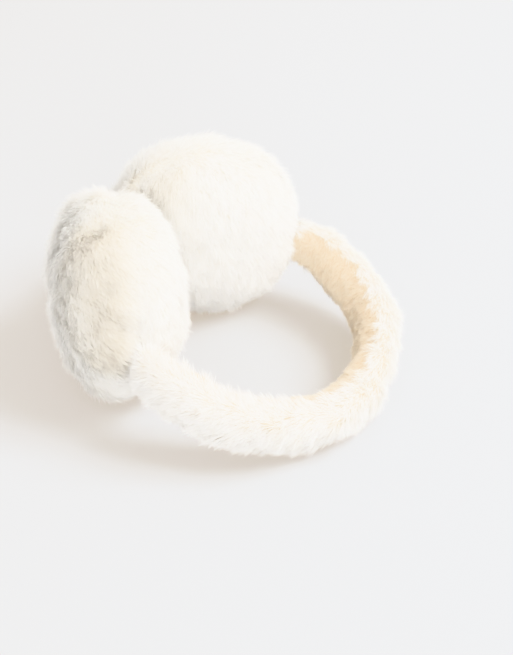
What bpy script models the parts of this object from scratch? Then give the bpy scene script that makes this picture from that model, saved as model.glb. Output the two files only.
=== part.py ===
"""Fur earmuffs that lie on their side: two round padded pads and a padded headband between them.

Metres, +Z up. The headband's crown lies on the floor at +X, and its two ends rise to the pads, which stand
on their rims: the left pad at +Y and the right pad at -Y. Each pad is sewn from a cup panel on its outer side
and a face panel on the ear's side. The headband is an outer strip of long fur and a smoother inner strip.
"""
from collections import namedtuple
import math
import random

import bmesh
import bpy
from mathutils import Vector
from mathutils.geometry import interpolate_bezier

# Pads
PAD_RADIUS = 0.0520
CUP_DEPTH = 0.0330
FACE_DEPTH = 0.0290
CUP_FULLNESS = 2.4
FACE_FULLNESS = 2.1
PAD_PRESS = 0.0058
PAD_SPLAY = math.radians(40)
PAD_LEAN = math.radians(4)
PAD_FLAT = 0.0030
SEAM_DIP = 0.0030
SEAM_REACH = 0.0060

# Headband
BAND_REACH = 0.1160
BAND_WIDTH = 0.0290
BAND_THICKNESS = 0.0225
BAND_FULLNESS = 2.6
BAND_TILT = math.radians(20)
BAND_FLAT = 0.0014
BAND_EMBED = 0.0110
BAND_LEAVE = 0.0230
CROWN_ROUND = 0.0650
INNER_STRIP = 0.0056
NECK_DIP = 0.0018
NECK_REACH = 0.0180

# Fur
CUP_LOCK = 0.0036
FACE_LOCK = 0.0028
BAND_LOCK = 0.0036
INNER_LOCK = 0.0010
LOCK_LEAN = 0.55
LOCK_SPREAD = 0.45
LOCK_SHIFT = 0.16
LOCK_JOIN = 0.30

# Clearances
PIECE_GAP = 0.0003

# Facets
CUP_CELLS = 14
FACE_CELLS = 10
BAND_STATIONS = 46
OUTER_CELLS = 8
INNER_CELLS = 4
CURVE_STEPS = 200
SEED = 7

FUR_COLOUR = (0.86, 0.82, 0.72, 1.0)
INNER_COLOUR = (0.80, 0.72, 0.58, 1.0)

# A panel's side is +1 towards the other pad and -1 away from it; its nap is along the pad and up
Panel = namedtuple("Panel", "name side depth fullness cells lock nap_along nap_up")
PANELS = (
    Panel("cup", -1, CUP_DEPTH, CUP_FULLNESS, CUP_CELLS, CUP_LOCK, -0.9, -0.4),
    Panel("face", 1, FACE_DEPTH, FACE_FULLNESS, FACE_CELLS, FACE_LOCK, 0.3, -0.9),
)

Pad = namedtuple("Pad", "name side")
PADS = (Pad("left", 1), Pad("right", -1))

# Turn is in degrees from the headband over the top. Reach is across the panel from its middle to its rim, and
# length, width and depth are shares of the pad's radius. Length runs out from the middle and width across it.
Dent = namedtuple("Dent", "pad panel turn reach length width depth")
DENTS = (
    Dent("right", "cup", 96, 0.80, 0.30, 0.10, 0.085),
    Dent("right", "cup", -30, 0.85, 0.34, 0.16, 0.075),
    Dent("right", "cup", 12, 0.72, 0.22, 0.22, 0.035),
    Dent("left", "face", 128, 0.84, 0.26, 0.10, 0.070),
    Dent("left", "face", 165, 0.70, 0.26, 0.14, 0.040),
    Dent("left", "cup", 70, 0.80, 0.28, 0.12, 0.055),
)

# Place runs along the headband from the left pad to the right one, and the others are shares of its thickness
Swell = namedtuple("Swell", "place length outward")
SWELLS = (
    Swell(0.27, 0.10, 0.12),
    Swell(0.42, 0.05, -0.06),
    Swell(0.60, 0.09, 0.07),
    Swell(0.80, 0.06, -0.06),
)


def clear_scene():
    for obj in list(bpy.data.objects):
        bpy.data.objects.remove(obj, do_unlink=True)


def fur_material(name, colour, roughness):
    material = bpy.data.materials.new(name)
    material.use_nodes = True
    shader = material.node_tree.nodes["Principled BSDF"]
    shader.inputs["Base Color"].default_value = colour
    shader.inputs["Roughness"].default_value = roughness
    shader.inputs["Metallic"].default_value = 0.0
    return material


def finish(bm, name, material, collection):
    """Turns a built form into an object with its faces pointing out."""
    bmesh.ops.recalc_face_normals(bm, faces=bm.faces[:])
    mesh = bpy.data.meshes.new(name)
    bm.to_mesh(mesh)
    bm.free()
    if material:
        mesh.materials.append(material)
    obj = bpy.data.objects.new(name, mesh)
    collection.objects.link(obj)
    return obj


def bump(distance, reach):
    """1 at no distance, falling smoothly to 0 over a few times the reach."""
    return math.exp(-((distance / reach) ** 2))


def rise(value, start, end):
    """0 up to start, 1 from end on, smooth between them."""
    share = min(1.0, max(0.0, (value - start) / (end - start)))
    return share * share * (3 - 2 * share)


def support(half_a, half_b, fullness):
    """How far a superellipse reaches, when its half axes reach half_a and half_b in that direction."""
    power = fullness / (fullness - 1)
    return (half_a**power + half_b**power) ** (1 / power)


def flatten(bm, origin, normal):
    """Presses what lies behind a plane flat onto it."""
    for vert in bm.verts:
        behind = (vert.co - origin).dot(normal)
        if behind < 0:
            vert.co -= normal * behind


def rest_on_floor(bm):
    flatten(bm, Vector(), Vector((0.0, 0.0, 1.0)))


# Pad


def pad_axes(pad):
    """Along the pad to where the headband leaves it, up its height, and out of its ear side."""
    side = pad.side
    along = Vector((math.cos(PAD_SPLAY), side * math.sin(PAD_SPLAY), 0.0))
    level = Vector((math.sin(PAD_SPLAY), -side * math.cos(PAD_SPLAY), 0.0))
    inward = (level * math.cos(PAD_LEAN) - Vector((0, 0, math.sin(PAD_LEAN)))).normalized()
    up = inward.cross(along) * side
    return along, up, inward


def pad_centre(pad):
    """Where the faces press on each other at the plane between the pads, and the rim rests on the floor."""
    across = support(PAD_RADIUS * math.sin(PAD_SPLAY), FACE_DEPTH * math.cos(PAD_SPLAY), FACE_FULLNESS)
    height = support(PAD_RADIUS * math.cos(PAD_LEAN), FACE_DEPTH * math.sin(PAD_LEAN), FACE_FULLNESS)
    return Vector((0.0, pad.side * (across - PAD_PRESS), height - PAD_FLAT))


def dent_depth(pad, panel, along, up, reach):
    """How deep all dents of a panel are together at one place, given by its direction and reach."""
    turn = math.atan2(up, along)
    depth = 0.0
    for dent in DENTS:
        if (dent.pad, dent.panel) != (pad.name, panel.name):
            continue
        off = (turn - math.radians(dent.turn) + math.pi) % (2 * math.pi) - math.pi
        outward = reach * math.cos(off) - dent.reach
        across = reach * math.sin(off)
        depth += dent.depth * PAD_RADIUS * bump(outward, dent.length) * bump(across, dent.width)
    return depth


def pad_point(direction, pad, panel, clearance):
    """The panel's surface in one direction from the pad's centre, in the pad's own axes."""
    rim = math.hypot(direction.x, direction.y)
    rise_up = max(direction.z, 0.0)
    scale = (rim**panel.fullness + rise_up**panel.fullness) ** (-1 / panel.fullness)
    radius = PAD_RADIUS + clearance
    depth = panel.depth + clearance
    height = rise_up * scale * depth
    dip = SEAM_DIP * bump(height, SEAM_REACH)
    spread = rim * scale * radius - dip
    inward = dent_depth(pad, panel, direction.x, direction.y, rim)
    point = Vector((direction.x / max(rim, 1e-6) * spread, direction.y / max(rim, 1e-6) * spread, height))
    return point - direction * inward


def panel_form(pad, panel, clearance=0.0):
    """A closed dome of square cells in world space; returns the form and its fur faces."""
    along, up, inward = pad_axes(pad)
    centre = pad_centre(pad)
    bm = bmesh.new()
    bmesh.ops.create_cube(bm, size=2.0)
    bmesh.ops.subdivide_edges(bm, edges=bm.edges[:], cuts=panel.cells - 1, use_grid_fill=True)
    below = [vert for vert in bm.verts if vert.co.z < -0.5 / panel.cells]
    bmesh.ops.delete(bm, geom=below, context="VERTS")
    seam_shift = PIECE_GAP / 2 - clearance
    for vert in bm.verts:
        direction = Vector([math.tan(part * math.pi / 4) for part in vert.co]).normalized()
        point = pad_point(direction, pad, panel, clearance)
        out = (point.z + seam_shift) * panel.side
        vert.co = centre + along * point.x + up * point.y + inward * out
    fur = bm.faces[:]
    rim_edges = [edge for edge in bm.edges if edge.is_boundary]
    bmesh.ops.holes_fill(bm, edges=rim_edges, sides=0)
    bmesh.ops.recalc_face_normals(bm, faces=bm.faces[:])
    bm.normal_update()
    return bm, fur


def mix_cells(bm, fur, share, rng):
    """Shifts the corners of the fur's cells about and joins some cells in pairs; returns the cells."""
    inside = [vert for vert in bm.verts if all(face in fur for face in vert.link_faces)]
    shifts = []
    for vert in inside:
        cell = min(edge.calc_length() for edge in vert.link_edges)
        shift = Vector([rng.uniform(-1, 1) for _ in range(3)]) * cell * LOCK_SHIFT * share(vert.co)
        shifts.append(shift - vert.normal * shift.dot(vert.normal))
    for vert, shift in zip(inside, shifts):
        vert.co += shift
    cells = set(fur)
    joined = set()
    seams = []
    for edge in bm.edges:
        sides = set(edge.link_faces)
        middle = (edge.verts[0].co + edge.verts[1].co) / 2
        if sides <= cells and not sides & joined and share(middle) > 0.5 and rng.random() < LOCK_JOIN:
            joined |= sides
            seams.append(edge)
    others = set(bm.faces) - cells
    bmesh.ops.dissolve_edges(bm, edges=seams, use_verts=False)
    return [face for face in bm.faces if face not in others]


def raise_locks(bm, fur, lock, share, nap, rng):
    """Pokes each cell up into a lock of fur, lock long, whose tip leans with the nap; share thins it out."""
    cells = mix_cells(bm, set(fur), share, rng)
    tips = bmesh.ops.poke(bm, faces=cells)["verts"]
    bm.normal_update()
    shifts = []
    for tip in tips:
        normal = tip.normal.copy()
        lay = nap(tip.co)
        lay = (lay - normal * lay.dot(normal)).normalized()
        side = normal.cross(lay)
        cell = min(edge.calc_length() for edge in tip.link_edges)
        rank = share(tip.co) * (1 + LOCK_SPREAD * rng.uniform(-1, 1))
        lean = lay + side * rng.uniform(-0.5, 0.5)
        shifts.append(normal * lock * rank + lean * LOCK_LEAN * cell * min(1.0, rank))
    for tip, shift in zip(tips, shifts):
        tip.co += shift


def build_panel(pad, panel, material, collection, rng):
    bm, fur = panel_form(pad, panel)
    along, up, inward = pad_axes(pad)
    centre = pad_centre(pad)
    lay = along * panel.nap_along + up * panel.nap_up
    junction = centre + along * PAD_RADIUS
    junction.z = band_height(junction.x)
    bare = math.hypot(BAND_WIDTH, BAND_THICKNESS) / 2

    def share(place):
        off_band = rise((place - junction).length, bare, bare + BAND_LOCK * 2)
        off_pad = rise(place.y * pad.side, PIECE_GAP, panel.lock * 2)
        return off_band * off_pad

    raise_locks(bm, fur, panel.lock, share, lambda place: lay, rng)
    seam_normal = inward * panel.side
    flatten(bm, centre + seam_normal * PIECE_GAP / 2, seam_normal)
    other_pad = Vector((0.0, pad.side, 0.0))
    flatten(bm, other_pad * PIECE_GAP / 2, other_pad)
    rest_on_floor(bm)
    return finish(bm, f"{pad.name}_pad_{panel.name}", material, collection)


# Headband


def band_height(along_x):
    """Height of the band's middle: its edge is flattened on the floor at the crown, and it rises to the pads."""
    lowest = support(BAND_WIDTH / 2 * math.cos(BAND_TILT), BAND_THICKNESS / 2 * math.sin(BAND_TILT), BAND_FULLNESS)
    return lowest - BAND_FLAT + (BAND_REACH - along_x) * math.tan(BAND_TILT)


def band_places():
    """Evenly spaced points along the headband's middle, with their shares of its length."""
    left = PADS[0]
    along = pad_axes(left)[0]
    centre = pad_centre(left)
    root = centre + along * (PAD_RADIUS - BAND_EMBED)
    leave = root + along * BAND_LEAVE
    crown = Vector((BAND_REACH, 0.0, 0.0))
    shoulder = crown + Vector((0.0, CROWN_ROUND, 0.0))
    half = [Vector(point) for point in interpolate_bezier(root, leave, shoulder, crown, CURVE_STEPS)]
    line = half + [Vector((point.x, -point.y, point.z)) for point in reversed(half[:-1])]
    for point in line:
        point.z = band_height(point.x)
    runs = [0.0]
    for before, after in zip(line, line[1:]):
        runs.append(runs[-1] + (after - before).length)
    places = []
    step = 0
    for number in range(BAND_STATIONS):
        run = runs[-1] * number / (BAND_STATIONS - 1)
        while step < len(runs) - 2 and runs[step + 1] < run:
            step += 1
        part = (run - runs[step]) / (runs[step + 1] - runs[step])
        places.append((line[step].lerp(line[step + 1], part), run / runs[-1], min(run, runs[-1] - run)))
    return places


def band_ring(centre, outward, up, share, from_end, angles):
    """Points round the band's section at one place, at the given angles from its outer side."""
    neck = NECK_DIP * bump(from_end - BAND_EMBED, NECK_REACH)
    half_out = BAND_THICKNESS / 2 - neck
    half_up = BAND_WIDTH / 2 - neck
    swell = 1 + sum(row.outward * bump(share - row.place, row.length) for row in SWELLS)
    power = 2 / BAND_FULLNESS
    ring = []
    for angle in angles:
        cosine, sine = math.cos(angle), math.sin(angle)
        out = math.copysign(abs(cosine) ** power, cosine) * half_out
        if out > 0:
            out *= swell
        ring.append(centre + outward * out + up * math.copysign(abs(sine) ** power, sine) * half_up)
    return ring


def split_angle(off_middle):
    """The angle at which the section is off_middle inwards of its centre."""
    return math.acos(-((off_middle / (BAND_THICKNESS / 2)) ** (BAND_FULLNESS / 2)))


def loft(rings):
    """A closed form through rings of as many points each; returns it with the faces between the rings."""
    bm = bmesh.new()
    rows = [[bm.verts.new(point) for point in ring] for ring in rings]
    count = len(rows[0])
    sides = []
    for before, after in zip(rows, rows[1:]):
        for number in range(count):
            following = (number + 1) % count
            sides.append(bm.faces.new((before[number], before[following], after[following], after[number])))
    bm.faces.new(reversed(rows[0]))
    bm.faces.new(rows[-1])
    bmesh.ops.recalc_face_normals(bm, faces=bm.faces[:])
    bm.normal_update()
    return bm, sides


def band_strip(first_angle, last_angle, cells):
    """One strip of the headband between two angles of its section; returns the form and its fur faces."""
    angles = [first_angle + (last_angle - first_angle) * number / cells for number in range(cells + 1)]
    up = Vector((math.sin(BAND_TILT), 0.0, math.cos(BAND_TILT)))
    places = band_places()
    rings = []
    for number, (centre, share, from_end) in enumerate(places):
        before = places[max(number - 1, 0)][0]
        after = places[min(number + 1, len(places) - 1)][0]
        outward = up.cross(after - before).normalized()
        rings.append(band_ring(centre, outward, up, share, from_end, angles))
    bm, sides = loft(rings)
    around = cells + 1
    fur = [face for number, face in enumerate(sides) if number % around != cells]
    return bm, fur


def build_strip(name, bm, fur, lock, material, collection, cutters, rng):
    def share(place):
        from_pad = min((place - pad_centre(pad)).length for pad in PADS)
        return rise(from_pad, PAD_RADIUS, PAD_RADIUS + lock * 3)

    def nap(place):
        return Vector((abs(place.y), -place.x * math.copysign(1.0, place.y), -BAND_REACH / 2))

    raise_locks(bm, fur, lock, share, nap, rng)
    rest_on_floor(bm)
    strip = finish(bm, name, material, collection)
    cut = strip.modifiers.new("Pads", "BOOLEAN")
    cut.operation = "DIFFERENCE"
    cut.operand_type = "COLLECTION"
    cut.collection = cutters
    return strip


def build_cutters(collection):
    """The pads' forms with the clearance that the headband's ends keep to them."""
    for pad in PADS:
        for panel in PANELS:
            bm, _ = panel_form(pad, panel, PIECE_GAP)
            cutter = finish(bm, f"{pad.name}_{panel.name}_clearance", None, collection)
            cutter.hide_render = True
            cutter.display_type = "WIRE"


def stand_at_origin(parts, cutters):
    """Moves everything so that the origin is on the floor, midway along and across the part."""
    corners = [vert.co for obj in parts for vert in obj.data.vertices]
    middle = Vector()
    for axis in (0, 1):
        places = [corner[axis] for corner in corners]
        middle[axis] = (min(places) + max(places)) / 2
    for obj in [*parts, *cutters]:
        obj.location = -middle


def main():
    clear_scene()
    rng = random.Random(SEED)
    parts = bpy.data.collections.new("Fur earmuffs")
    cutters = bpy.data.collections.new("Cutters")
    for collection in (parts, cutters):
        bpy.context.scene.collection.children.link(collection)
    build_cutters(cutters)
    for pad in PADS:
        for panel in PANELS:
            material = fur_material(f"{pad.name} {panel.name} fur", FUR_COLOUR, 0.95)
            build_panel(pad, panel, material, parts, rng)
    outer_split = split_angle(BAND_THICKNESS / 2 - INNER_STRIP)
    inner_split = split_angle(BAND_THICKNESS / 2 - INNER_STRIP + PIECE_GAP)
    outer = band_strip(-outer_split, outer_split, OUTER_CELLS)
    inner = band_strip(inner_split, 2 * math.pi - inner_split, INNER_CELLS)
    outer_material = fur_material("headband outer fur", FUR_COLOUR, 0.95)
    inner_material = fur_material("headband inner fur", INNER_COLOUR, 0.9)
    build_strip("headband_outer_strip", *outer, BAND_LOCK, outer_material, parts, cutters, rng)
    build_strip("headband_inner_strip", *inner, INNER_LOCK, inner_material, parts, cutters, rng)
    stand_at_origin(parts.objects, cutters.objects)


main()
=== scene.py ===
"""Fur earmuffs, dressed for a render: padded bodies, brushed fur in strands, and a pale studio floor."""

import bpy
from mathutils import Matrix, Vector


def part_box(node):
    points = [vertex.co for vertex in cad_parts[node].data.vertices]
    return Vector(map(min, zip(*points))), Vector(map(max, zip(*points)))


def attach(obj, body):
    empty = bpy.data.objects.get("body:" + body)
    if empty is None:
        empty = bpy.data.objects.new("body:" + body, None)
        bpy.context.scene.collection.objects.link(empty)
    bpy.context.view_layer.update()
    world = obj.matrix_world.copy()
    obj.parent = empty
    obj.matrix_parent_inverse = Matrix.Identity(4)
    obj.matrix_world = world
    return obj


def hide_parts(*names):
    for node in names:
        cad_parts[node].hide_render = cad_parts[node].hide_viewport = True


bl_info = {
    "name": "Fur earmuffs",
    "version": (1, 0, 0),
    "blender": (4, 5, 0),
    "location": "3D View > Sidebar > Earmuffs",
    "description": "Pads and headband of a pair of earmuffs as stuffed bodies with a coat of brushed fur",
    "category": "Add Mesh",
}

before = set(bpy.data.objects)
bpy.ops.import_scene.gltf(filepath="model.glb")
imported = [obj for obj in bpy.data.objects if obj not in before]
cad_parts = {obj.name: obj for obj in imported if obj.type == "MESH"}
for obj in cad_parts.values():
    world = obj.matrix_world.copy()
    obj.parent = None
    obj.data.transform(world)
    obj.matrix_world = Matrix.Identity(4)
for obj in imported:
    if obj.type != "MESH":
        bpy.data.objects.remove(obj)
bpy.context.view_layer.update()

from collections import namedtuple
import math

import bmesh
import bpy
from bpy.props import FloatProperty, FloatVectorProperty, IntProperty, PointerProperty
from bpy.types import Operator, Panel, PropertyGroup
from mathutils import Vector, noise
from mathutils.bvhtree import BVHTree
import numpy as np

BODY = "root"
UP = Vector((0.0, 0.0, 1.0))

# A fold lies at a turn round the rim, from the headband upwards, and a height from the seam to the ear side
Fold = namedtuple("Fold", "turn height depth reach")
# A painted shade strip lies round the rim, from one turn to another, where the wisps are painted darker as
# painted shade
Parting = namedtuple("Parting", "start end height reach depth")
Pad = namedtuple("Pad", "name side groove folds partings")
PADS = (
    # Painted shadow: the far left pad's strip beside the near pad stands for the shadow that the near pad
    # casts on it
    Pad("left", 1, -0.0006, (), (Parting(math.radians(118), math.radians(180), 0.013, 0.009, 0.7),)),
    Pad("right", -1, 0.0014, (
        Fold(math.radians(80), -0.013, 0.0034, 0.0065),
        Fold(math.radians(38), -0.014, 0.0022, 0.0100),
        Fold(math.radians(14), -0.010, 0.0040, 0.0085),
    # Painted shade: the near right pad's strip along its cup's folds stands for the shade in that valley
    ), (Parting(math.radians(-5), math.radians(76), -0.014, 0.0125, 1.0),)),
)

# A panel's nap has a share along the pad to the headband and a share up the pad, and the cloth carries it
# round the dome. Pile is a share of the pads' pile.
PadPanel = namedtuple("PadPanel", "name nap_along nap_up pile")
PANELS = (
    PadPanel("cup", 1.0, -0.15, 1.0),
    PadPanel("face", 0.3, -0.9, 0.9),
)

# Stuffed bodies
# A cup's corners that are nearer to the face than this lie on the rim where the two are sewn
SEAM_TOUCH = 0.0005
# Share of the way to its neighbours' middle that a corner moves in one smoothing pass
MELT = 0.5
# Frames that the cloth simulation runs
STUFFING_FRAMES = 20
# Small lumps lie over the large ones: how many times smaller they are, and their share of the height
FINE_LUMPS = 2.3
FINE_LUMP_HEIGHT = 0.5
FINE_LUMP_SEED = 4.0
# The rim seam gathers unevenly: by this share, in steps of this size round a ring of this radius
GATHER = 0.35
GATHER_SIZE = 0.02
GATHER_RING = 0.12
# Turn in which a painted shade strip fades out beyond either end
SHADE_STRIP_END = math.radians(24)
# Corners nearer than this are one, and a shorter length isn't divided by
TINY = 1e-6

# Wisps
# Where a wisp is widest and how far it bows out there, as shares of its length
WISP_WAIST = 0.5
WISP_BOW = 0.13
# Least and most share of the pile that a wisp has, that its tuft gives it, and of the fibre's width
WISP_LENGTHS = (0.7, 1.15)
TUFT_LENGTHS = (0.78, 1.12)
WISP_WIDTHS = (0.6, 1.3)
# Noise that gives a tuft its least and most length
TUFT_NOISE = (0.3, 0.7)
# Swirls turn several tufts together: how many tufts across, and where their noise is read
SWIRL_SIZE = 3.2
SWIRL_SHIFT = (0.5, 0.2, 0.9)
# Least that a wisp points out of the skin, and how far its outer side may turn
LEAST_OUT = 0.25
TWIST = 0.4
# Most tint that a wisp gets from its tuft, by its own chance, and from a painted shade strip, where the tint
# is painted shade
TUFT_TINT = 0.25
OWN_TINT = 0.23
PAINTED_SHADE_TINT = 0.5
# Width of a wisp on the map that its colours read
MAP_WIDTH = 0.01
# One random draw for each way in which wisps differ
STRAY_DRAW, TWIST_DRAW, LENGTH_DRAW, WIDTH_DRAW, TINT_DRAW = range(1, 6)
# Seeds of the coats: a pad's two panels count on from a step for each pad
PAD_SEED_STEP = 10
BAND_SEED = 40
INNER_SEED = 50
SQUARE_CM_PER_SQUARE_M = 1e4

# Fur on the pads
# How near the rim seam it is shorter, and by what share
SEAM_REACH = 0.004
SEAM_SHORTER = 0.1
# How near the other pad it is pressed, and the share of its length that is left there
PRESS_REACH = 0.006
PRESSED_PILE = 0.45

# Fur on the headband
# The loop's middle lies this far from its box's middle, towards the pads
LOOP_SHIFT = 0.015
# The outer strip's nap runs along the band, down its sides, and over its top to the loop's middle
NAP_ALONG = 0.8
NAP_DOWN = 0.35
NAP_OVER = 0.35
# Beside the inner strip, where the skin faces up at least this much, it runs less along and more over
EDGE_FACING = 0.5
EDGE_ALONG = 0.3
EDGE_OVER = 0.5
# The inner strip's nap leans outward a little on its way down
INNER_OUT = 0.1

# Colours
# Share of a wisp's length in which its root's colour turns into its tip's
ROOT_REACH = 0.6
INNER_ROOT_REACH = 0.7
# Share of its colour that the cloth's dark spots keep
SPOT_SHADE = 0.86
# Places of a Mix node's colour sockets, which share their names with others
MIX_LOW, MIX_HIGH, MIX_RESULT = 6, 7, 2

# Stage
# The lowest fur stays this far over the floor
FLOOR_GAP = 0.0002
# Half the floor's width
FLOOR_REACH = 10.0
# Width and height of the camera's sensor in millimetres
SENSOR = 36.0


class PaddingSettings(PropertyGroup):
    """Sizes of the stuffed bodies under the fur."""

    cell: FloatProperty(
        name="Cell", description="Size of the cells that a body is remeshed in",
        default=0.003, unit="LENGTH",
    )
    inset: FloatProperty(
        name="Inset", description="How far the cloth lies under the middle of the fur's outer form",
        default=0.0036, unit="LENGTH",
    )
    band_inset: FloatProperty(
        name="Headband inset",
        description="How far the headband's cloth lies under the middle of its fur's outer form",
        default=0.0030, unit="LENGTH",
    )
    band_joint: FloatProperty(
        name="Headband joint", description="Distance from a pad in which the headband reaches into its fur",
        default=0.012, unit="LENGTH",
    )
    band_reach: FloatProperty(
        name="Headband reach", description="How far the headband's cloth reaches into a pad's fur",
        default=0.006, unit="LENGTH",
    )
    smoothing: IntProperty(
        name="Smoothing", description="Passes that melt the locks into one skin", default=14
    )
    pressure: FloatProperty(
        name="Pressure", description="Pressure of the stuffing on the cloth", default=4.0
    )
    swell: FloatProperty(
        name="Swell", description="Most that the stuffing may push the cloth out",
        default=0.0022, unit="LENGTH",
    )
    seam_width: FloatProperty(
        name="Seam width", description="Half width of the groove at a seam", default=0.0032, unit="LENGTH"
    )
    seam_blend: FloatProperty(
        name="Seam blend", description="Half width in which the nap turns at a seam",
        default=0.012, unit="LENGTH",
    )
    lump_height: FloatProperty(
        name="Lump height", description="Height of the soft lumps in the stuffing",
        default=0.0011, unit="LENGTH",
    )
    lump_size: FloatProperty(
        name="Lump size", description="Distance across a soft lump in the stuffing",
        default=0.016, unit="LENGTH",
    )


class FurSettings(PropertyGroup):
    """Sizes and colours of the fur."""

    pad_pile: FloatProperty(
        name="Pad pile", description="Length of the fur on the pads", default=0.0085, unit="LENGTH"
    )
    band_pile: FloatProperty(
        name="Headband pile", description="Length of the fur on the headband's outer strip",
        default=0.0072, unit="LENGTH",
    )
    inner_pile: FloatProperty(
        name="Inner pile", description="Length of the fur on the headband's inner strip",
        default=0.0040, unit="LENGTH",
    )
    fibre: FloatProperty(
        name="Fibre width", description="Width of a wisp of fibres at its middle",
        default=0.00024, unit="LENGTH",
    )
    cover: FloatProperty(
        name="Cover", description="Wisps of fibres on each square centimetre", default=700.0
    )
    lean: FloatProperty(
        name="Lean", description="How far the fur leans over from upright",
        default=math.radians(60), subtype="ANGLE",
    )
    tuft: FloatProperty(
        name="Tuft size", description="Distance across a tuft that leans its own way",
        default=0.0055, unit="LENGTH",
    )
    tuft_lean: FloatProperty(
        name="Tuft lean", description="How much the pads' tufts lean their own way", default=0.6
    )
    band_tuft_lean: FloatProperty(
        name="Headband tuft lean", description="How much the headband's tufts lean their own way",
        default=0.95,
    )
    fold_thin: FloatProperty(
        name="Fold thinning", description="Share by which the fur is shorter in the middle of a fold",
        default=0.35,
    )
    edge_wander: FloatProperty(
        name="Edge wander", description="How far the edge between the headband's strips wanders",
        default=0.0010, unit="LENGTH",
    )
    edge_reach: FloatProperty(
        name="Edge reach",
        description="Distance from the inner strip in which the outer strip's fur hangs over it",
        default=0.004, unit="LENGTH",
    )
    edge_pile: FloatProperty(
        name="Edge pile", description="Share by which the fur that hangs over the inner strip is longer",
        default=0.15,
    )
    stray: FloatProperty(name="Stray", description="How much each wisp leans its own way", default=0.30)
    softness: FloatProperty(
        name="Softness", description="How much a wisp is shaded like the skin under it", default=0.6
    )
    glow: FloatProperty(
        name="Glow", description="Share of the light that a wisp lets through", default=0.48
    )
    tip: FloatVectorProperty(
        name="Tip", description="Colour of the fur's tips", default=(0.975, 0.98, 0.985), subtype="COLOR"
    )
    root: FloatVectorProperty(
        name="Root", description="Colour deep in the fur", default=(0.95, 0.92, 0.86), subtype="COLOR"
    )
    # Painted shade: the colour that wisps in a painted shade strip are painted towards
    parted: FloatVectorProperty(
        name="Parted", description="Colour of the fur where it parts",
        default=(0.66, 0.62, 0.55), subtype="COLOR",
    )
    # Painted shade: the inner strip's fur is the same fur as the outer strip's, given darker, warmer colours
    # for the shade inside the loop
    inner_shaded_tip: FloatVectorProperty(
        name="Inner tip", description="Colour of the inner strip's tips",
        default=(0.972, 0.928, 0.845), subtype="COLOR",
    )
    inner_shaded_root: FloatVectorProperty(
        name="Inner root", description="Colour deep in the inner strip's fur",
        default=(0.93, 0.83, 0.68), subtype="COLOR",
    )


class StageSettings(PropertyGroup):
    """The floor, the lights and the camera."""

    azimuth: FloatProperty(
        name="Azimuth", description="Way round the earmuffs to the camera",
        default=math.radians(33.6), subtype="ANGLE",
    )
    elevation: FloatProperty(
        name="Elevation", description="Height of the camera over the floor",
        default=math.radians(38.1), subtype="ANGLE",
    )
    distance: FloatProperty(
        name="Distance", description="Distance from the camera to its aim", default=0.630, unit="LENGTH"
    )
    lens: FloatProperty(
        name="Lens", description="Focal length in millimetres on a 36 mm high sensor", default=62.9
    )
    aim: FloatVectorProperty(
        name="Aim", description="Point on the floor in the middle of the picture",
        default=(-0.0036, 0.0306, 0.0), subtype="TRANSLATION",
    )
    key_direction: FloatProperty(
        name="Key direction", description="Way round from +X to the key softbox",
        default=math.radians(32), subtype="ANGLE",
    )
    key_height: FloatProperty(
        name="Key height", description="Height of the key softbox over the floor",
        default=math.radians(48), subtype="ANGLE",
    )
    box_distance: FloatProperty(
        name="Softbox distance", description="Distance from a softbox to the earmuffs",
        default=2.4, unit="LENGTH",
    )
    box_size: FloatProperty(
        name="Softbox size", description="Width of a softbox", default=1.2, unit="LENGTH"
    )
    key_power: FloatProperty(
        name="Key power", description="Light from the key softbox in watts", default=126.0
    )
    fill_direction: FloatProperty(
        name="Fill direction", description="Way round from +X to the fill softbox",
        default=math.radians(-45), subtype="ANGLE",
    )
    fill_height: FloatProperty(
        name="Fill height", description="Height of the fill softbox over the floor",
        default=math.radians(16), subtype="ANGLE",
    )
    fill_power: FloatProperty(
        name="Fill power", description="Light from the fill softbox in watts", default=46.0
    )
    sky: FloatProperty(name="Sky", description="Light from all round", default=1.30)
    sky_tint: FloatVectorProperty(
        name="Sky tint", description="Colour of the light from all round",
        default=(1.0, 0.975, 0.945), subtype="COLOR",
    )
    floor: FloatVectorProperty(
        name="Floor", description="Colour of the floor", default=(0.155, 0.186, 0.222), subtype="COLOR"
    )
    floor_glow: FloatVectorProperty(
        name="Floor glow", description="Light that comes up through the floor",
        default=(0.56, 0.475, 0.385), subtype="COLOR",
    )


# Shared helpers


def wave(place, size, seed=0.0):
    """Smooth noise from -1 to 1 that changes over a distance of about size."""
    return noise.noise(place / size + Vector((seed, -seed, seed * 0.5)))


def bump(distance, reach):
    """1 at no distance, falling smoothly to 0 over a few times the reach."""
    return math.exp(-((distance / reach) ** 2))


def rise(value, start, end):
    """0 up to start, 1 from end on, smooth between them."""
    share = min(1.0, max(0.0, (value - start) / (end - start)))
    return share * share * (3 - 2 * share)


def corners(mesh):
    """A mesh's corners as rows of numbers."""
    found = np.empty(len(mesh.vertices) * 3)
    mesh.vertices.foreach_get("co", found)
    return found.reshape(-1, 3)


def evaluated(obj):
    """A plain mesh of the object as its modifiers leave it."""
    graph = bpy.context.evaluated_depsgraph_get()
    return bpy.data.meshes.new_from_object(obj.evaluated_get(graph), depsgraph=graph)


def apply_modifiers(obj):
    mesh = evaluated(obj)
    obj.modifiers.clear()
    obj.data = mesh
    mesh.name = obj.name


def new_object(name, mesh):
    obj = bpy.data.objects.new(name, mesh)
    bpy.context.scene.collection.objects.link(obj)
    return obj


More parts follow.
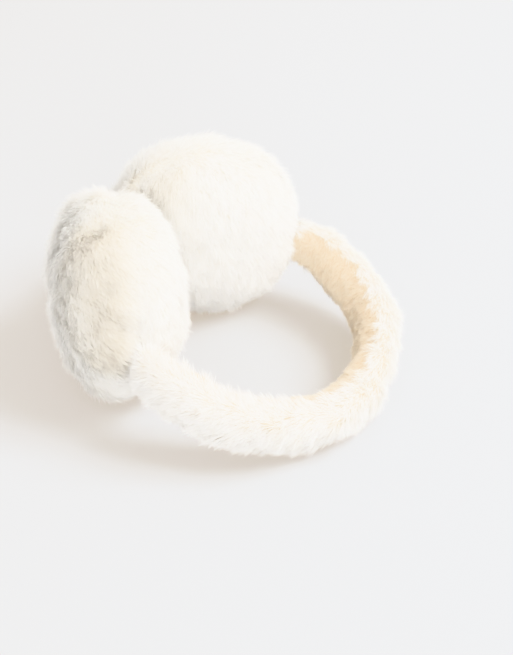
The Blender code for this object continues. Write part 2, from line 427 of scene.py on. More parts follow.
def seam_plane(pad):
    """The middle of a pad's seam and its direction to the face panel, from the rim where its solids meet."""
    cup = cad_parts[f"{pad.name}_pad_cup"]
    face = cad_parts[f"{pad.name}_pad_face"]
    face_tree = surface_of(face)
    rim = [vert.co for vert in cup.data.vertices if face_tree.find_nearest(vert.co)[3] < SEAM_TOUCH]
    points = np.array(rim)
    middle = points.mean(0)
    normal = Vector(np.linalg.svd(points - middle)[2][2])
    towards_face = Vector(corners(face.data).mean(0) - middle)
    return Vector(middle), normal if normal.dot(towards_face) > 0 else -normal


def surface_of(obj):
    mesh = obj.data
    places = [vert.co for vert in mesh.vertices]
    return BVHTree.FromPolygons(places, [face.vertices for face in mesh.polygons])


def pad_axes(pad):
    """The middle of a pad's seam, and the ways along it to the headband, up it, and out of its ear side."""
    middle, inward = seam_plane(pad)
    along = UP.cross(inward).normalized()
    band = Vector(corners(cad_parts["headband_outer_strip"].data).mean(0))
    if along.dot(band - middle) < 0:
        along = -along
    up = along.cross(inward)
    if up.z < 0:
        up = -up
    return middle, along, up, inward


def between_pads():
    """Where the plane between the two pads cuts the Y axis."""
    return (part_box("left_pad_face")[0].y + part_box("right_pad_face")[1].y) / 2


# Stuffed bodies


def skin_of(name, nodes, inset, padding):
    """One closed skin under the fur of some solids: their locks are melted and the whole is drawn in."""
    bm = bmesh.new()
    for node in nodes:
        bm.from_mesh(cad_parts[node].data)
    bmesh.ops.remove_doubles(bm, verts=bm.verts[:], dist=TINY)
    mesh = bpy.data.meshes.new(name)
    bm.to_mesh(mesh)
    bm.free()
    obj = new_object(name, mesh)
    remesh = obj.modifiers.new("Cells", "REMESH")
    remesh.mode = "VOXEL"
    remesh.voxel_size = padding.cell
    melt = obj.modifiers.new("Melt", "SMOOTH")
    melt.factor = MELT
    melt.iterations = padding.smoothing
    draw_in = obj.modifiers.new("Draw in", "DISPLACE")
    draw_in.mid_level = 0.0
    draw_in.strength = -inset
    apply_modifiers(obj)
    keep_largest(obj.data)
    obj.data.shade_smooth()
    return obj


def keep_largest(mesh):
    """Drops the small bubbles that a remesh leaves between two solids."""
    bm = bmesh.new()
    bm.from_mesh(mesh)
    bm.verts.ensure_lookup_table()
    left = set(bm.verts)
    islands = []
    while left:
        front = [left.pop()]
        island = set(front)
        while front:
            for edge in front.pop().link_edges:
                for vert in edge.verts:
                    if vert in left:
                        left.discard(vert)
                        island.add(vert)
                        front.append(vert)
        islands.append(island)
    largest = max(islands, key=len)
    bmesh.ops.delete(bm, geom=[vert for vert in bm.verts if vert not in largest], context="VERTS")
    bmesh.ops.recalc_face_normals(bm, faces=bm.faces[:])
    bm.to_mesh(mesh)
    bm.free()


def inflate(obj, held, padding):
    """Swells a body as stuffing swells cloth, held along its seams, within the cap."""
    start = corners(obj.data)
    group = obj.vertex_groups.new(name="Held")
    group.add(held, 1.0, "REPLACE")
    cloth = obj.modifiers.new("Stuffing", "CLOTH")
    cloth.settings.vertex_group_mass = group.name
    cloth.settings.use_pressure = True
    cloth.settings.uniform_pressure_force = padding.pressure
    cloth.settings.effector_weights.gravity = 0.0
    cloth.point_cache.frame_start = 1
    cloth.point_cache.frame_end = STUFFING_FRAMES
    for number in range(1, STUFFING_FRAMES + 1):
        bpy.context.scene.frame_set(number)
    mesh = evaluated(obj)
    shift = corners(mesh) - start
    bpy.data.meshes.remove(mesh)
    length = np.linalg.norm(shift, axis=1, keepdims=True)
    shift *= np.minimum(1.0, padding.swell / np.maximum(length, TINY))
    obj.modifiers.clear()
    obj.vertex_groups.clear()
    obj.data.vertices.foreach_set("co", (start + shift).ravel())
    obj.data.update()
    bpy.context.scene.frame_set(1)


def reshape(obj, push):
    """Moves each corner by push(place, normal)."""
    mesh = obj.data
    places = [vert.co.copy() for vert in mesh.vertices]
    normals = [vert.normal.copy() for vert in mesh.vertices]
    for vert, place, normal in zip(mesh.vertices, places, normals):
        vert.co = place + push(place, normal)
    mesh.update()


def lumps(place, padding):
    """Height of the stuffing's lumps at a place."""
    coarse = wave(place, padding.lump_size)
    fine = wave(place, padding.lump_size / FINE_LUMPS, FINE_LUMP_SEED)
    return padding.lump_height * (coarse + FINE_LUMP_HEIGHT * fine)


def rim_spot(place, axes):
    """A place's turn round a pad's rim, its distance from the pad's axis, and its height over the seam."""
    middle, along, up, inward = axes
    off = place - middle
    height = off.dot(inward)
    rim = off - inward * height
    return math.atan2(rim.dot(up), rim.dot(along)), rim.length, height


def in_fold(fold, turn, radius, height):
    """How deep in a fold a spot lies, from 0 to 1."""
    return bump(math.hypot((turn - fold.turn) * radius, height - fold.height), fold.reach)


def in_painted_shade_strip(shade_strip, turn, height):
    """How much painted shade a spot gets, from 0 to 1."""
    faded_in = rise(turn, shade_strip.start - SHADE_STRIP_END, shade_strip.start)
    faded_out = rise(turn, shade_strip.end, shade_strip.end + SHADE_STRIP_END)
    ends = faded_in * (1 - faded_out)
    return shade_strip.depth * ends * bump(height - shade_strip.height, shade_strip.reach)


def make_pad_body(pad, padding):
    """A pad's stuffed body: two panels sewn round their rim."""
    names = [f"{pad.name}_pad_{panel.name}" for panel in PANELS]
    obj = skin_of(f"{pad.name}_pad_padding", names, padding.inset, padding)
    axes = pad_axes(pad)
    middle, inward = axes[0], axes[3]
    heights = [abs((vert.co - middle).dot(inward)) for vert in obj.data.vertices]
    seam = [index for index, height in enumerate(heights) if height < padding.cell]
    inflate(obj, seam, padding)

    def push(place, normal):
        turn, radius, height = rim_spot(place, axes)
        ring = Vector((math.cos(turn), math.sin(turn), pad.side)) * GATHER_RING
        gather = 1 + GATHER * wave(ring, GATHER_SIZE)
        groove = pad.groove * gather * bump(height, padding.seam_width)
        for fold in pad.folds:
            groove += fold.depth * in_fold(fold, turn, radius, height)
        return normal * (lumps(place, padding) - groove)

    reshape(obj, push)
    return obj


def make_band_body(padding):
    """The headband's stuffed body, with its outer and inner strips sewn along their edges."""
    strips = ["headband_outer_strip", "headband_inner_strip"]
    obj = skin_of("headband_padding", strips, padding.band_inset, padding)
    pads = [surface_of(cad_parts[f"{pad.name}_pad_{panel.name}"]) for pad in PADS for panel in PANELS]

    def to_pad(place):
        nearest = min((tree.find_nearest(place) for tree in pads), key=lambda found: found[3])
        return nearest[3], nearest[0] - place

    reach = padding.band_inset + padding.cell
    held = [vert.index for vert in obj.data.vertices if to_pad(vert.co)[0] < reach]
    inflate(obj, held, padding)

    def push(place, normal):
        distance, towards = to_pad(place)
        joined = 1 - rise(distance, 0.0, padding.band_joint)
        facing = max(0.0, normal.dot(towards.normalized()))
        return normal * lumps(place, padding) + towards.normalized() * padding.band_reach * joined * facing

    reshape(obj, push)
    return obj


# Fur


def feed(tree, node, inputs):
    """Sets a node's inputs to values, or links them to sockets."""
    for key, value in inputs.items():
        if isinstance(value, bpy.types.NodeSocket):
            tree.links.new(value, node.inputs[key])
        else:
            node.inputs[key].default_value = value


def node_of(tree, kind, inputs=None, **settings):
    """A new node with its settings and its inputs."""
    made = tree.nodes.new(kind)
    for name, value in settings.items():
        setattr(made, name, value)
    feed(tree, made, inputs or {})
    return made


def vector_of(tree, operation, *inputs):
    made = node_of(tree, "ShaderNodeVectorMath", dict(enumerate(inputs)), operation=operation)
    return made.outputs["Vector"]


def scaled(tree, vector, factor):
    made = node_of(tree, "ShaderNodeVectorMath", {0: vector, "Scale": factor}, operation="SCALE")
    return made.outputs["Vector"]


def number_of(tree, operation, *inputs):
    return node_of(tree, "ShaderNodeMath", dict(enumerate(inputs)), operation=operation).outputs["Value"]


def random_of(tree, low, high, seed):
    made = node_of(tree, "FunctionNodeRandomValue", {2: low, 3: high, "Seed": seed}, data_type="FLOAT")
    return made.outputs[1]


def random_vector(tree, reach, seed):
    limits = {0: (-reach,) * 3, 1: (reach,) * 3, "Seed": seed}
    return node_of(tree, "FunctionNodeRandomValue", limits, data_type="FLOAT_VECTOR").outputs[0]


def named(tree, name, kind):
    made = node_of(tree, "GeometryNodeInputNamedAttribute", {"Name": name}, data_type=kind)
    return made.outputs["Attribute"]


def stored(tree, geometry, name, value, kind, domain):
    """Geometry that keeps a value under a name."""
    inputs = {"Geometry": geometry, "Name": name, "Value": value}
    made = node_of(tree, "GeometryNodeStoreNamedAttribute", inputs, data_type=kind, domain=domain)
    return made.outputs["Geometry"]


def cloud_of(tree, place, size, scale, detail):
    """Smooth noise that changes over a distance of size, divided by the scale."""
    wide = vector_of(tree, "DIVIDE", place, size)
    return node_of(tree, "ShaderNodeTexNoise", {"Vector": wide, "Scale": scale, "Detail": detail}).outputs


def noise_vector(tree, place, size):
    """Smooth noise in each direction, about -0.5 to 0.5, that changes over a distance of size."""
    cloud = cloud_of(tree, place, size, scale=1.0, detail=1.0)
    return vector_of(tree, "SUBTRACT", cloud["Color"], (0.5, 0.5, 0.5))


def mixed_colour(tree, share, low, high):
    """A colour between two others."""
    made = node_of(tree, "ShaderNodeMix", {0: share, MIX_LOW: low, MIX_HIGH: high}, data_type="RGBA")
    return made.outputs[MIX_RESULT]


def make_wisp():
    """One wisp of fibres, 1 long and 1 wide: a narrow kite that bows out and ends in a point."""
    bm = bmesh.new()
    uv = bm.loops.layers.uv.new("wisp")
    root, tip = bm.verts.new((0.0, 0.0, 0.0)), bm.verts.new((0.0, 0.0, 1.0))
    left, right = (bm.verts.new((side * 0.5, WISP_BOW, WISP_WAIST)) for side in (-1, 1))
    for face in ((root, left, right), (left, tip, right)):
        made = bm.faces.new(face)
        for loop in made.loops:
            loop[uv].uv = (loop.vert.co.x + 0.5, loop.vert.co.z)
    mesh = bpy.data.meshes.new("wisp")
    bm.to_mesh(mesh)
    bm.free()
    return new_object("wisp", mesh)


FUR_INPUTS = (
    ("Cover", "NodeSocketFloat", 3e6),
    ("Pile", "NodeSocketFloat", 0.008),
    ("Fibre", "NodeSocketFloat", 0.0003),
    ("Lean", "NodeSocketFloat", 0.9),
    ("Tuft", "NodeSocketFloat", 0.006),
    ("Tuft Lean", "NodeSocketFloat", 1.0),
    ("Stray", "NodeSocketFloat", 0.4),
    ("Side", "NodeSocketFloat", 0.0),
    ("Middle", "NodeSocketFloat", 0.0),
    ("Seed", "NodeSocketInt", 1),
    ("Wisp", "NodeSocketObject", None),
    ("Material", "NodeSocketMaterial", None),
)


def fur_tree():
    """Geometry Nodes that plant wisps on a skin. Its lay says where they lean, its pile how long they are."""
    tree = bpy.data.node_groups.new("Fur coat", "GeometryNodeTree")
    tree.interface.new_socket("Geometry", in_out="INPUT", socket_type="NodeSocketGeometry")
    for name, kind, value in FUR_INPUTS:
        socket = tree.interface.new_socket(name, in_out="INPUT", socket_type=kind)
        if value is not None:
            socket.default_value = value
    tree.interface.new_socket("Geometry", in_out="OUTPUT", socket_type="NodeSocketGeometry")
    given = tree.nodes.new("NodeGroupInput").outputs

    def seed_of(draw):
        return number_of(tree, "ADD", given["Seed"], draw)

    planted = node_of(
        tree,
        "GeometryNodeDistributePointsOnFaces",
        {"Mesh": given["Geometry"], "Density": given["Cover"], "Seed": given["Seed"]},
        distribute_method="RANDOM",
    )
    normal = named(tree, "out", "FLOAT_VECTOR")
    place = tree.nodes.new("GeometryNodeInputPosition").outputs["Position"]

    # A wisp leans with the nap, with its tuft and its swirl, and a little its own way
    tuft_noise = noise_vector(tree, place, given["Tuft"])
    swirl_size = number_of(tree, "MULTIPLY", given["Tuft"], SWIRL_SIZE)
    swirl_noise = noise_vector(tree, vector_of(tree, "ADD", place, SWIRL_SHIFT), swirl_size)
    tuft_way = scaled(tree, tuft_noise, given["Tuft Lean"])
    swirl_way = scaled(tree, swirl_noise, given["Tuft Lean"])
    stray = scaled(tree, random_vector(tree, 1.0, seed_of(STRAY_DRAW)), given["Stray"])
    own_way = vector_of(tree, "ADD", vector_of(tree, "ADD", tuft_way, swirl_way), stray)
    across = scaled(tree, named(tree, "lay", "FLOAT_VECTOR"), number_of(tree, "SINE", given["Lean"]))
    upright = scaled(tree, normal, number_of(tree, "COSINE", given["Lean"]))
    direction = vector_of(tree, "ADD", vector_of(tree, "ADD", across, upright), own_way)
    # A wisp never points back into the skin
    out = node_of(tree, "ShaderNodeVectorMath", {0: direction, 1: normal}, operation="DOT_PRODUCT")
    missing = number_of(tree, "SUBTRACT", LEAST_OUT, out.outputs["Value"])
    missing = number_of(tree, "MAXIMUM", missing, 0.0)
    direction = vector_of(tree, "ADD", direction, scaled(tree, normal, missing))
    stand = node_of(tree, "FunctionNodeAlignRotationToVector", {"Vector": direction}, axis="Z")
    outward = vector_of(tree, "ADD", normal, random_vector(tree, TWIST, seed_of(TWIST_DRAW)))
    turned = node_of(
        tree,
        "FunctionNodeAlignRotationToVector",
        {"Rotation": stand.outputs["Rotation"], "Vector": outward},
        axis="Y",
        pivot_axis="Z",
    ).outputs["Rotation"]

    tuft_length = cloud_of(tree, place, given["Tuft"], scale=1.3, detail=0.0)[0]
    limits = dict(enumerate((*TUFT_NOISE, *TUFT_LENGTHS), start=1))
    tuft_share = node_of(tree, "ShaderNodeMapRange", {0: tuft_length, **limits}).outputs[0]
    own_share = random_of(tree, *WISP_LENGTHS, seed_of(LENGTH_DRAW))
    pile = number_of(tree, "MULTIPLY", given["Pile"], named(tree, "pile", "FLOAT"))
    length = number_of(tree, "MULTIPLY", pile, number_of(tree, "MULTIPLY", own_share, tuft_share))
    width = number_of(tree, "MULTIPLY", given["Fibre"], random_of(tree, *WISP_WIDTHS, seed_of(WIDTH_DRAW)))
    size = node_of(tree, "ShaderNodeCombineXYZ", {0: width, 1: length, 2: length}).outputs[0]

    wisp = node_of(tree, "GeometryNodeObjectInfo", {"Object": given["Wisp"]}).outputs["Geometry"]
    points = {"Points": planted.outputs["Points"], "Instance": wisp, "Rotation": turned, "Scale": size}
    coat = node_of(tree, "GeometryNodeInstanceOnPoints", points).outputs["Instances"]
    tuft_tint = cloud_of(tree, place, given["Tuft"], scale=0.8, detail=2.0)[0]
    chance = random_of(tree, 0.0, OWN_TINT, seed_of(TINT_DRAW))
    own_tint = number_of(tree, "ADD", number_of(tree, "MULTIPLY", tuft_tint, TUFT_TINT), chance)
    # Painted shade: wisps in a painted shade strip get more tint, which colours them towards the painted
    # shade colour
    tint = number_of(tree, "MULTIPLY_ADD", named(tree, "parted", "FLOAT"), PAINTED_SHADE_TINT, own_tint)
    coat = stored(tree, coat, "tint", tint, "FLOAT", "INSTANCE")
    coat = stored(tree, coat, "skin", normal, "FLOAT_VECTOR", "INSTANCE")
    coat = node_of(tree, "GeometryNodeRealizeInstances", {"Geometry": coat}).outputs["Geometry"]

    # The map that the colours read: tint across, root to tip upwards
    along = node_of(tree, "ShaderNodeSeparateXYZ", {0: named(tree, "wisp", "FLOAT_VECTOR")}).outputs
    spot = number_of(tree, "MULTIPLY_ADD", along["X"], MAP_WIDTH, named(tree, "tint", "FLOAT"))
    spot_pair = node_of(tree, "ShaderNodeCombineXYZ", {0: spot, 1: along["Y"]}).outputs[0]
    coat = stored(tree, coat, "OFBake", spot_pair, "FLOAT2", "CORNER")

    # Fur is pressed flat by the floor and by the other pad
    xyz = node_of(tree, "ShaderNodeSeparateXYZ", {0: place}).outputs
    off_middle = number_of(tree, "SUBTRACT", given["Middle"], xyz["Y"])
    past = number_of(tree, "MAXIMUM", number_of(tree, "MULTIPLY", off_middle, given["Side"]), 0.0)
    pressed_y = number_of(tree, "MULTIPLY_ADD", past, given["Side"], xyz["Y"])
    pressed_z = number_of(tree, "MAXIMUM", xyz["Z"], FLOOR_GAP)
    pressed = node_of(tree, "ShaderNodeCombineXYZ", {0: xyz["X"], 1: pressed_y, 2: pressed_z}).outputs[0]
    moved = node_of(tree, "GeometryNodeSetPosition", {"Geometry": coat, "Position": pressed})
    inputs = {"Geometry": moved.outputs["Geometry"], "Material": given["Material"]}
    coat = node_of(tree, "GeometryNodeSetMaterial", inputs).outputs["Geometry"]
    node_of(tree, "NodeGroupOutput", {"Geometry": coat})
    return tree


def carrier_of(body, name, belongs, lay, pile, parted=lambda place: 0.0):
    """The part of a body's skin whose faces belong, with the fur's lay, length and share of painted shade on
    its corners.
    """
    bm = bmesh.new()
    bm.from_mesh(body.data)
    others = [face for face in bm.faces if not belongs(face.calc_center_median(), face.normal)]
    bmesh.ops.delete(bm, geom=others, context="FACES")
    lay_layer = bm.verts.layers.float_vector.new("lay")
    pile_layer = bm.verts.layers.float.new("pile")
    out_layer = bm.verts.layers.float_vector.new("out")
    painted_shade_layer = bm.verts.layers.float.new("parted")
    for vert in bm.verts:
        wanted = lay(vert.co, vert.normal)
        vert[lay_layer] = (wanted - vert.normal * wanted.dot(vert.normal)).normalized()
        vert[pile_layer] = pile(vert.co, vert.normal)
        vert[out_layer] = vert.normal
        vert[painted_shade_layer] = parted(vert.co)
    mesh = bpy.data.meshes.new(name)
    bm.to_mesh(mesh)
    bm.free()
    return new_object(name, mesh)


def soften(mesh, share):
    """Shades each wisp partly like the skin under it, as fine fibres do that let light through."""
    mesh.shade_smooth()
    count = len(mesh.vertices)
    skin, own = np.empty(count * 3), np.empty(count * 3)
    mesh.attributes["skin"].data.foreach_get("vector", skin)
    mesh.vertex_normals.foreach_get("vector", own)
    mixed = skin.reshape(-1, 3) * share + own.reshape(-1, 3) * (1 - share)
    mixed /= np.maximum(np.linalg.norm(mixed, axis=1, keepdims=True), TINY)
    mesh.normals_split_custom_set_from_vertices(mixed)


def grow_fur(carrier, tree, wisp, material, fur, pile, tuft_lean, side, seed):
    """Turns a skin's part into its coat of fur, as a plain mesh."""
    coat = carrier.modifiers.new("Fur coat", "NODES")
    coat.node_group = tree
    values = {
        "Cover": fur.cover * SQUARE_CM_PER_SQUARE_M,
        "Pile": pile,
        "Fibre": fur.fibre,
        "Lean": fur.lean,
        "Tuft": fur.tuft,
        "Tuft Lean": tuft_lean,
        "Stray": fur.stray,
        "Side": float(side),
        "Middle": between_pads(),
        "Seed": seed,
        "Wisp": wisp,
        "Material": material,
    }
    for item in tree.interface.items_tree:
        if item.in_out == "INPUT" and item.name in values:
            coat[item.identifier] = values[item.name]
    apply_modifiers(carrier)
    soften(carrier.data, fur.softness)
    for name in ("tint", "wisp", "lay", "pile", "out", "parted", "skin"):
        layer = carrier.data.attributes.get(name)
        if layer:
            carrier.data.attributes.remove(layer)
    return carrier


def material_of(name):
    material = bpy.data.materials.new(name)
    material.use_nodes = True
    return material, material.node_tree, material.node_tree.nodes["Principled BSDF"]


def fibre_group():
    """Colour of a fibre, from its root's to its tip's, and nearer to the painted shade colour with more tint.
    """
    group = bpy.data.node_groups.new("Fibre colour", "ShaderNodeTree")
    for name in ("Tip", "Root", "Parted"):
        group.interface.new_socket(name, in_out="INPUT", socket_type="NodeSocketColor")
    for name, value in (("Root Reach", ROOT_REACH), ("Tint Depth", 0.5)):
        socket = group.interface.new_socket(name, in_out="INPUT", socket_type="NodeSocketFloat")
        socket.default_value = value
    group.interface.new_socket("Color", in_out="OUTPUT", socket_type="NodeSocketColor")
    given = group.nodes.new("NodeGroupInput").outputs
    place = node_of(group, "ShaderNodeUVMap", uv_map="OFBake").outputs["UV"]
    spot = node_of(group, "ShaderNodeSeparateXYZ", {0: place}).outputs
    limits = {0: spot["Y"], 2: given["Root Reach"]}
    up = node_of(group, "ShaderNodeMapRange", limits, interpolation_type="SMOOTHSTEP").outputs[0]
    # The lower half of the tint leads to the root's colour, the upper half to the painted shade colour
    twice = number_of(group, "MULTIPLY", spot["X"], 2.0)
    shade = number_of(group, "MULTIPLY", number_of(group, "MINIMUM", twice, 1.0), given["Tint Depth"])
    share = number_of(group, "SUBTRACT", up, shade)
    mixed = mixed_colour(group, share, given["Root"], given["Tip"])
    depth = number_of(group, "MAXIMUM", number_of(group, "SUBTRACT", twice, 1.0), 0.0)
    with_painted_shade = mixed_colour(group, depth, mixed, given["Parted"])
    node_of(group, "NodeGroupOutput", {"Color": with_painted_shade})
    return group


def fur_material(name, group, tip, root, reach, fur):
    """Fur that is coloured from root to tip and lets some light through."""
    material, tree, shader = material_of(name)
    colours = {"Tip": (*tip, 1.0), "Root": (*root, 1.0), "Parted": (*fur.parted, 1.0), "Root Reach": reach}
    colour = node_of(tree, "ShaderNodeGroup", colours, node_tree=group).outputs["Color"]
    feed(tree, shader, {
        "Base Color": colour,
        "Roughness": 0.75,
        "Specular IOR Level": 0.25,
        "Sheen Weight": 0.3,
        "Sheen Roughness": 0.5,
    })
    through = node_of(tree, "ShaderNodeBsdfTranslucent", {"Color": colour}).outputs["BSDF"]
    both = node_of(tree, "ShaderNodeMixShader", {0: fur.glow, 1: shader.outputs["BSDF"], 2: through})
    feed(tree, tree.nodes["Material Output"], {"Surface": both.outputs["Shader"]})
    return material


def backing_material(name, root):
    """Short dense pile on the cloth under the long fur."""
    material, tree, shader = material_of(name)
    place = node_of(tree, "ShaderNodeTexCoord").outputs["Object"]
    down = node_of(tree, "ShaderNodeTexNoise", {"Vector": place, "Scale": 900.0, "Detail": 4.0}).outputs[0]
    spots = node_of(tree, "ShaderNodeTexNoise", {"Vector": place, "Scale": 120.0, "Detail": 2.0}).outputs[0]
    dark = tuple(part * SPOT_SHADE for part in root)
    relief = node_of(tree, "ShaderNodeBump", {"Height": down, "Strength": 0.6, "Distance": 0.0006})
    feed(tree, shader, {
        "Base Color": mixed_colour(tree, spots, (*dark, 1.0), (*root, 1.0)),
        "Normal": relief.outputs["Normal"],
        "Roughness": 0.9,
        "Sheen Weight": 0.3,
    })
    return material


def dress(obj, material, nodes):
    """Gives a piece its material in a slot and its body, and hides the solids that it stands for."""
    obj.data.materials.clear()
    obj.data.materials.append(material)
    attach(obj, BODY)
    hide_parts(*nodes)


# Operators


class EARMUFFS_OT_pads(Operator):
    """Makes both stuffed pads and their fur"""

    bl_idname = "earmuffs.pads"
    bl_label = "Pads"

    def execute(self, context):
        padding, fur = context.scene.earmuff_padding, context.scene.earmuff_fur
        tree, wisp = fur_tree(), make_wisp()
        group = fibre_group()
        material = fur_material("Pad fur", group, fur.tip, fur.root, ROOT_REACH, fur)
        cloth = backing_material("Pad cloth", fur.root)
        between = between_pads()
        for number, pad in enumerate(PADS):
            body = make_pad_body(pad, padding)
            axes = pad_axes(pad)
            middle, along, up, inward = axes
            naps = [along * panel.nap_along + up * panel.nap_up for panel in PANELS]

            def lay(place, normal):
                cup, face = (nap.copy() for nap in naps)
                cup.rotate((-inward).rotation_difference(normal))
                face.rotate(inward.rotation_difference(normal))
                height = (place - middle).dot(inward)
                return cup.lerp(face, rise(height, -padding.seam_blend, padding.seam_blend))

            for order, panel in enumerate(PANELS):
                outward = inward if panel.name == "face" else -inward

                def belongs(place, normal):
                    return (place - middle).dot(outward) > 0

                def pile(place, normal):
                    spot = rim_spot(place, axes)
                    seam = 1 - SEAM_SHORTER * bump((place - middle).dot(inward), SEAM_REACH)
                    folded = max((in_fold(fold, *spot) for fold in pad.folds), default=0.0)
                    free = rise(pad.side * (place.y - between), 0.0, PRESS_REACH)
                    pressed = PRESSED_PILE + (1 - PRESSED_PILE) * free
                    return panel.pile * seam * (1 - fur.fold_thin * folded) * pressed

                # Painted shade: how much of it a place gets from the pad's painted shade strips
                def parted(place):
                    turn, _, height = rim_spot(place, axes)
                    return max((in_painted_shade_strip(shade_strip, turn, height) for shade_strip in pad.partings), default=0.0)

                coat = carrier_of(body, f"{pad.name}_{panel.name}_fur", belongs, lay, pile, parted)
                seed = PAD_SEED_STEP * number + order
                grow_fur(coat, tree, wisp, material, fur, fur.pad_pile, fur.tuft_lean, pad.side, seed)
                dress(coat, material, [f"{pad.name}_pad_{panel.name}"])
            dress(body, cloth, [f"{pad.name}_pad_{panel.name}" for panel in PANELS])
        bpy.data.objects.remove(wisp)
        return {"FINISHED"}


class EARMUFFS_OT_headband(Operator):
    """Makes the stuffed headband and the fur of its outer and inner strips"""

    bl_idname = "earmuffs.headband"
    bl_label = "Headband"

    def execute(self, context):
        padding, fur = context.scene.earmuff_padding, context.scene.earmuff_fur
        tree, wisp = fur_tree(), make_wisp()
        group = fibre_group()
        outer_material = fur_material("Headband fur", group, fur.tip, fur.root, ROOT_REACH, fur)
        # Painted shade: the inner strip's fur is coloured darker and warmer than the outer strip's for the
        # shade inside the loop
        inner_shaded_colours = (fur.inner_shaded_tip, fur.inner_shaded_root, INNER_ROOT_REACH)
        inner_shaded_material = fur_material("Inner strip fur", group, *inner_shaded_colours, fur)
        body = make_band_body(padding)
        strips = {part: surface_of(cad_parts[f"headband_{part}_strip"]) for part in ("outer", "inner")}
        low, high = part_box("headband_inner_strip")
        loop_middle = Vector(((low.x + high.x) / 2 - LOOP_SHIFT, (low.y + high.y) / 2, 0.0))

        def from_inner(place):
            return strips["inner"].find_nearest(place)[3]

        def is_outer(place):
            ragged = fur.edge_wander * (wave(place, fur.tuft) - 1)
            return strips["outer"].find_nearest(place)[3] <= from_inner(place) + ragged

        def outward_at(place):
            flat = place - loop_middle
            flat.z = 0.0
            return flat.normalized()

        def over_inner(place, normal):
            return bump(from_inner(place), fur.edge_reach) * rise(normal.z, 0.0, EDGE_FACING)

        def lay_outer(place, normal):
            outward = outward_at(place)
            along = outward.cross(UP)
            top = max(normal.z, 0.0)
            edge = over_inner(place, normal)
            onward = along * (NAP_ALONG - EDGE_ALONG * edge)
            down = UP * NAP_DOWN * (1 - top)
            return onward - down - outward * (NAP_OVER * top + EDGE_OVER * edge)

        def pile_outer(place, normal):
            return 1 + fur.edge_pile * over_inner(place, normal)

        def lay_inner(place, normal):
            return -UP + outward_at(place) * INNER_OUT

        for number, pad in enumerate(PADS):
            coat = carrier_of(
                body,
                f"headband_fur_{pad.name}",
                lambda place, normal: is_outer(place) and (place.y - loop_middle.y) * pad.side > 0,
                lay_outer,
                pile_outer,
            )
            seed = BAND_SEED + number
            grow_fur(coat, tree, wisp, outer_material, fur, fur.band_pile, fur.band_tuft_lean, 0, seed)
            dress(coat, outer_material, ["headband_outer_strip"])
        coat = carrier_of(
            body,
            "headband_inner_fur",
            lambda place, normal: not is_outer(place),
            lay_inner,
            lambda place, normal: 1.0,
        )
        grow_fur(coat, tree, wisp, inner_shaded_material, fur, fur.inner_pile, fur.band_tuft_lean, 0, INNER_SEED)
        dress(coat, inner_shaded_material, ["headband_inner_strip"])
        # The headband's cloth takes the inner strip's painted shade colour
        cloth = backing_material("Headband cloth", fur.inner_shaded_root)
        dress(body, cloth, ["headband_outer_strip", "headband_inner_strip"])
        bpy.data.objects.remove(wisp)
        return {"FINISHED"}


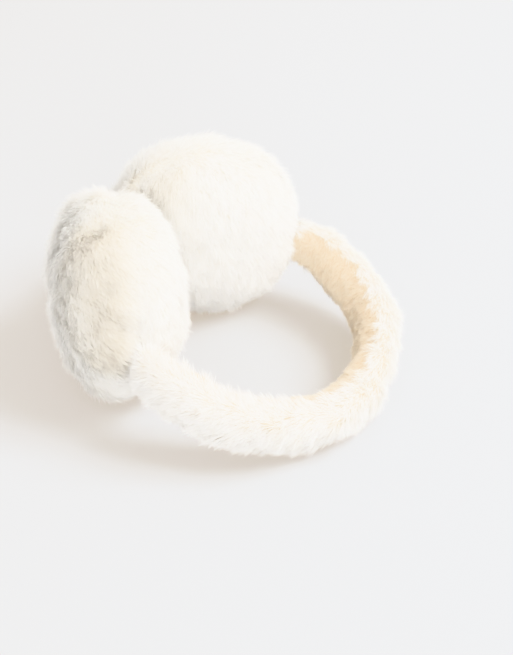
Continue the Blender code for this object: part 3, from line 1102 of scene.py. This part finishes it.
class EARMUFFS_OT_stage(Operator):
    """Makes the pale floor, two softboxes, the light from all round and the camera"""

    bl_idname = "earmuffs.stage"
    bl_label = "Stage"

    def execute(self, context):
        stage = context.scene.earmuff_stage
        self.make_floor(stage)
        self.make_lights(context.scene, stage)
        self.make_camera(context.scene, stage)
        context.scene.view_settings.view_transform = "Khronos PBR Neutral"
        return {"FINISHED"}

    def make_floor(self, stage):
        bm = bmesh.new()
        bmesh.ops.create_grid(bm, x_segments=1, y_segments=1, size=FLOOR_REACH)
        mesh = bpy.data.meshes.new("floor")
        bm.to_mesh(mesh)
        bm.free()
        floor = new_object("floor", mesh)
        material, tree, shader = material_of("Floor paper")
        place = node_of(tree, "ShaderNodeTexCoord").outputs["Object"]
        grain = node_of(tree, "ShaderNodeTexNoise", {"Vector": place, "Scale": 400.0, "Detail": 2.0})
        bumps = {"Height": grain.outputs[0], "Strength": 0.05, "Distance": 0.0002}
        relief = node_of(tree, "ShaderNodeBump", bumps)
        feed(tree, shader, {
            "Normal": relief.outputs["Normal"],
            "Base Color": (*stage.floor, 1.0),
            "Roughness": 0.8,
            "Specular IOR Level": 0.2,
            "Emission Color": (*stage.floor_glow, 1.0),
            "Emission Strength": 1.0,
        })
        mesh.materials.append(material)

    def make_lights(self, scene, stage):
        world = bpy.data.worlds.new("Studio")
        world.use_nodes = True
        sky = {"Color": (*stage.sky_tint, 1.0), "Strength": stage.sky}
        feed(world.node_tree, world.node_tree.nodes["Background"], sky)
        scene.world = world
        key = (stage.key_direction, stage.key_height, stage.key_power)
        fill = (stage.fill_direction, stage.fill_height, stage.fill_power)
        self.make_softbox(scene, "Key light", *key, stage)
        self.make_softbox(scene, "Fill light", *fill, stage)

    def make_softbox(self, scene, name, direction, height, power, stage):
        lamp = bpy.data.lights.new(name, "AREA")
        lamp.shape = "SQUARE"
        lamp.size = stage.box_size
        lamp.energy = power
        softbox = bpy.data.objects.new(name, lamp)
        scene.collection.objects.link(softbox)
        level = math.cos(height)
        towards = Vector((level * math.cos(direction), level * math.sin(direction), math.sin(height)))
        softbox.rotation_euler = towards.to_track_quat("Z", "Y").to_euler()
        softbox.location = towards * stage.box_distance

    def make_camera(self, scene, stage):
        data = bpy.data.cameras.new("Camera")
        data.sensor_fit = "VERTICAL"
        data.sensor_width = data.sensor_height = SENSOR
        data.lens = stage.lens
        data.clip_start = 0.01
        camera = bpy.data.objects.new("Camera", data)
        scene.collection.objects.link(camera)
        level = math.cos(stage.elevation)
        back = Vector((
            math.sin(stage.azimuth) * level, -math.cos(stage.azimuth) * level, math.sin(stage.elevation)
        ))
        camera.location = Vector(stage.aim) + back * stage.distance
        camera.rotation_euler = back.to_track_quat("Z", "Y").to_euler()
        scene.camera = camera


class EARMUFFS_PT_sidebar(Panel):
    """Buttons and sizes of the earmuffs"""

    bl_idname = "EARMUFFS_PT_sidebar"
    bl_label = "Fur earmuffs"
    bl_space_type = "VIEW_3D"
    bl_region_type = "UI"
    bl_category = "Earmuffs"

    def draw(self, context):
        for operator in OPERATORS:
            self.layout.operator(operator.bl_idname)
        for group in SETTINGS:
            settings = getattr(context.scene, group)
            box = self.layout.box()
            for name in settings.__annotations__:
                box.prop(settings, name)


SETTINGS = {
    "earmuff_padding": PaddingSettings,
    "earmuff_fur": FurSettings,
    "earmuff_stage": StageSettings,
}
OPERATORS = (EARMUFFS_OT_pads, EARMUFFS_OT_headband, EARMUFFS_OT_stage)
CLASSES = (*SETTINGS.values(), *OPERATORS, EARMUFFS_PT_sidebar)


def register():
    for kind in CLASSES:
        bpy.utils.register_class(kind)
    for name, kind in SETTINGS.items():
        setattr(bpy.types.Scene, name, PointerProperty(type=kind))


def unregister():
    for name in SETTINGS:
        delattr(bpy.types.Scene, name)
    for kind in reversed(CLASSES):
        bpy.utils.unregister_class(kind)


def main():
    register()
    bpy.ops.earmuffs.pads()
    bpy.ops.earmuffs.headband()
    bpy.ops.earmuffs.stage()


if __name__ == "__main__":
    main()
